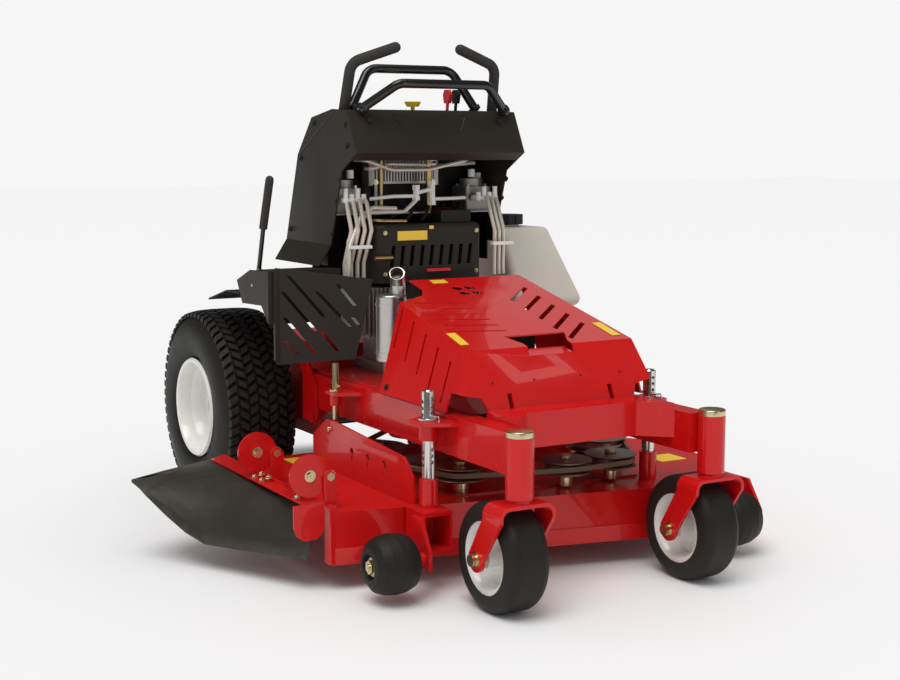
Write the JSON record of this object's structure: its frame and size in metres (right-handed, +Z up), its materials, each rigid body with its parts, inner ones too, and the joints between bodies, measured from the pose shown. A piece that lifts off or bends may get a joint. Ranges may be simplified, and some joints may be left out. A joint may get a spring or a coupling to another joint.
{
  "type": "stand-on lawn mower",
  "caption": "Stand-on rotary mower: tubular frame, twin drive wheels, swivel casters, belt-driven side-discharge deck, tilting hood and lever console.",
  "frame": {"origin": "ground point under the centre of the overall length and width, with the platform down and the discharge flap lowered", "axes": "+X forward along the machine, +Y to the operator's left, +Z up from the ground"},
  "size_m": [1.8044, 1.339, 1.1773],
  "materials": {
    "red_paint": "gloss powder coat",
    "black_paint": "satin powder coat",
    "black_plastic": "moulded",
    "white_paint": "gloss enamel",
    "drive_tyre": "moulded",
    "black_rubber": "matte",
    "pad_vinyl": "grained vinyl over foam",
    "bright_steel": "bright",
    "zinc_steel": "yellow zinc",
    "bare_steel": "machined",
    "cast_aluminium": "as cast",
    "cast_iron": "painted casting",
    "tank_plastic": "blow moulded",
    "red_plastic": "moulded",
    "yellow_plastic": "moulded"
  },
  "bodies": {
    "chassis": {"main_frame": "red_paint", "caster_housings": "red_paint", "caster_bearings": "zinc_steel", "wheel_motors": "cast_iron", "engine_block": "cast_aluminium", "blower_housing": "black_paint", "muffler": "bright_steel", "hydro_pumps": "cast_aluminium", "oil_cooler": "cast_aluminium", "hydraulic_lines": "bare_steel", "battery": "black_paint", "fuel_tank": "tank_plastic", "console_sides": "black_paint", "console_front": "black_paint", "console_top": "black_paint", "console_rear": "black_paint", "thigh_pad": "pad_vinyl", "hand_bars": "black_paint", "side_box": "black_paint", "guard_panel": "black_paint", "rear_fender": "black_plastic"},
    "filler_cap": {"fuel_cap": "black_plastic"},
    "drive_wheel_right": {"drive_rim_right": "white_paint", "drive_tyre_right": "drive_tyre"},
    "drive_wheel_left": {"drive_rim_left": "white_paint", "drive_tyre_left": "drive_tyre"},
    "caster_right": {"caster_fork_right": "red_paint", "caster_axle_right": "zinc_steel"},
    "caster_left": {"caster_fork_left": "red_paint", "caster_axle_left": "zinc_steel"},
    "caster_wheel_right": {"caster_rim_right": "white_paint", "caster_tyre_right": "drive_tyre"},
    "caster_wheel_left": {"caster_rim_left": "white_paint", "caster_tyre_left": "drive_tyre"},
    "deck": {"deck_shell": "red_paint", "deck_brackets": "red_paint", "deck_posts": "bright_steel", "spindle_housings": "black_paint", "idler_stubs": "zinc_steel", "deck_belt": "black_rubber"},
    "cutter_right": {"blade_right": "bare_steel", "spindle_right": "bare_steel"},
    "cutter_left": {"blade_left": "bare_steel", "spindle_left": "bare_steel"},
    "belt_idler_right": {"idler_right": "bare_steel"},
    "belt_idler_centre": {"idler_centre": "bare_steel"},
    "belt_idler_left": {"idler_left": "bare_steel"},
    "crankshaft": {"crank_pulley": "bare_steel"},
    "scalp_roller_right": {"roller_right": "black_rubber"},
    "scalp_roller_left": {"roller_left": "black_rubber"},
    "deflector": {"deflector_plate": "red_paint", "deflector_flap": "black_rubber"},
    "steering_right": {"control_lever_right": "black_rubber"},
    "steering_left": {"control_lever_left": "black_rubber"},
    "brake": {"parking_brake_lever": "black_paint"},
    "throttle": {"throttle_lever": "red_plastic"},
    "choke": {"choke_lever": "black_plastic"},
    "blade_switch": {"blade_knob": "yellow_plastic"},
    "engine_hood": {"hood": "red_paint"},
    "operator_platform": {"platform": "black_paint"}
  },
  "joints": [
    {"name": "drive_wheel_right_spin", "type": "hinge", "parent": "chassis", "child": "drive_wheel_right", "pos_m": [-0.40225, -0.2605, 0.254], "axis": [0, 1, 0], "continuous": true},
    {"name": "drive_wheel_left_spin", "type": "hinge", "parent": "chassis", "child": "drive_wheel_left", "pos_m": [-0.40225, 0.4495, 0.254], "axis": [0, 1, 0], "continuous": true},
    {"name": "caster_right_swivel", "type": "hinge", "parent": "chassis", "child": "caster_right", "pos_m": [0.84775, -0.1465, 0.3], "axis": [0, 0, 1], "continuous": true},
    {"name": "caster_left_swivel", "type": "hinge", "parent": "chassis", "child": "caster_left", "pos_m": [0.84775, 0.3355, 0.3], "axis": [0, 0, 1], "continuous": true},
    {"name": "caster_wheel_right_spin", "type": "hinge", "parent": "caster_right", "child": "caster_wheel_right", "pos_m": [0.78775, -0.1465, 0.1145], "axis": [0, 1, 0], "continuous": true},
    {"name": "caster_wheel_left_spin", "type": "hinge", "parent": "caster_left", "child": "caster_wheel_left", "pos_m": [0.78775, 0.3355, 0.1145], "axis": [0, 1, 0], "continuous": true},
    {"name": "deck_lift", "type": "slide", "parent": "chassis", "child": "deck", "axis": [0, 0, 1], "range_m": [0, 0.03], "deforming": ["deck_belt"]},
    {"name": "blade_right_spin", "type": "hinge", "parent": "deck", "child": "cutter_right", "pos_m": [0.19775, -0.1305, 0.095], "axis": [0, 0, 1], "continuous": true},
    {"name": "blade_left_spin", "type": "hinge", "parent": "deck", "child": "cutter_left", "pos_m": [0.35475, 0.3895, 0.095], "axis": [0, 0, 1], "continuous": true},
    {"name": "idler_right_spin", "type": "hinge", "parent": "deck", "child": "belt_idler_right", "pos_m": [0.47975, -0.0655, 0.22], "axis": [0, 0, 1], "continuous": true},
    {"name": "idler_centre_spin", "type": "hinge", "parent": "deck", "child": "belt_idler_centre", "pos_m": [0.54175, 0.1715, 0.22], "axis": [0, 0, 1], "continuous": true},
    {"name": "idler_left_spin", "type": "hinge", "parent": "deck", "child": "belt_idler_left", "pos_m": [0.53775, 0.2995, 0.22], "axis": [0, 0, 1], "continuous": true},
    {"name": "crankshaft_spin", "type": "hinge", "parent": "chassis", "child": "crankshaft", "pos_m": [-0.00225, 0.0945, 0.22], "axis": [0, 0, 1], "continuous": true},
    {"name": "scalp_roller_right_spin", "type": "hinge", "parent": "deck", "child": "scalp_roller_right", "pos_m": [0.63275, -0.3185, 0.083], "axis": [0, 1, 0], "continuous": true},
    {"name": "scalp_roller_left_spin", "type": "hinge", "parent": "deck", "child": "scalp_roller_left", "pos_m": [0.68975, 0.5405, 0.083], "axis": [0, 1, 0], "continuous": true},
    {"name": "deflector_lift", "type": "hinge", "parent": "deck", "child": "deflector", "pos_m": [0.29775, -0.3755, 0.24], "axis": [-1, 0, 0], "range_deg": [0, 80]},
    {"name": "steering_right_swing", "type": "hinge", "parent": "chassis", "child": "steering_right", "pos_m": [-0.00725, -0.1175, 0.93], "axis": [0, 1, 0], "range_deg": [-12, 15], "stiffness_Nm_per_rad": 12},
    {"name": "steering_left_swing", "type": "hinge", "parent": "chassis", "child": "steering_left", "pos_m": [-0.00725, 0.3065, 0.93], "axis": [0, 1, 0], "range_deg": [-12, 15], "stiffness_Nm_per_rad": 12},
    {"name": "parking_brake_pull", "type": "hinge", "parent": "chassis", "child": "brake", "pos_m": [-0.05425, -0.3145, 0.6], "axis": [0, -1, 0], "range_deg": [0, 35]},
    {"name": "throttle_swing", "type": "hinge", "parent": "chassis", "child": "throttle", "pos_m": [-0.03625, 0.1945, 0.966], "axis": [0, 1, 0], "range_deg": [-20, 20]},
    {"name": "choke_swing", "type": "hinge", "parent": "chassis", "child": "choke", "pos_m": [-0.03625, 0.2185, 0.966], "axis": [0, 1, 0], "range_deg": [-20, 20]},
    {"name": "blade_switch_pull", "type": "slide", "parent": "chassis", "child": "blade_switch", "axis": [0, 0, 1], "range_m": [0, 0.01]},
    {"name": "hood_tilt", "type": "hinge", "parent": "chassis", "child": "engine_hood", "pos_m": [0.61275, 0.0945, 0.395], "axis": [0, 1, 0], "range_deg": [0, 75]},
    {"name": "platform_fold", "type": "hinge", "parent": "chassis", "child": "operator_platform", "pos_m": [-0.52725, 0.0945, 0.172], "axis": [0, 1, 0], "range_deg": [0, 88]},
    {"name": "filler_cap_turn", "type": "hinge", "parent": "chassis", "child": "filler_cap", "pos_m": [-0.15025, 0.4465, 0.735], "axis": [0, 0, 1], "range_deg": [0, 330]}
  ],
  "couplings": [
    {"joint": "blade_left_spin", "follows": "blade_right_spin", "ratio": 1},
    {"joint": "crankshaft_spin", "follows": "blade_right_spin", "ratio": 1},
    {"joint": "idler_right_spin", "follows": "blade_right_spin", "ratio": 1.2917},
    {"joint": "idler_centre_spin", "follows": "blade_right_spin", "ratio": 1.2917},
    {"joint": "idler_left_spin", "follows": "blade_right_spin", "ratio": 1.2917}
  ]
}
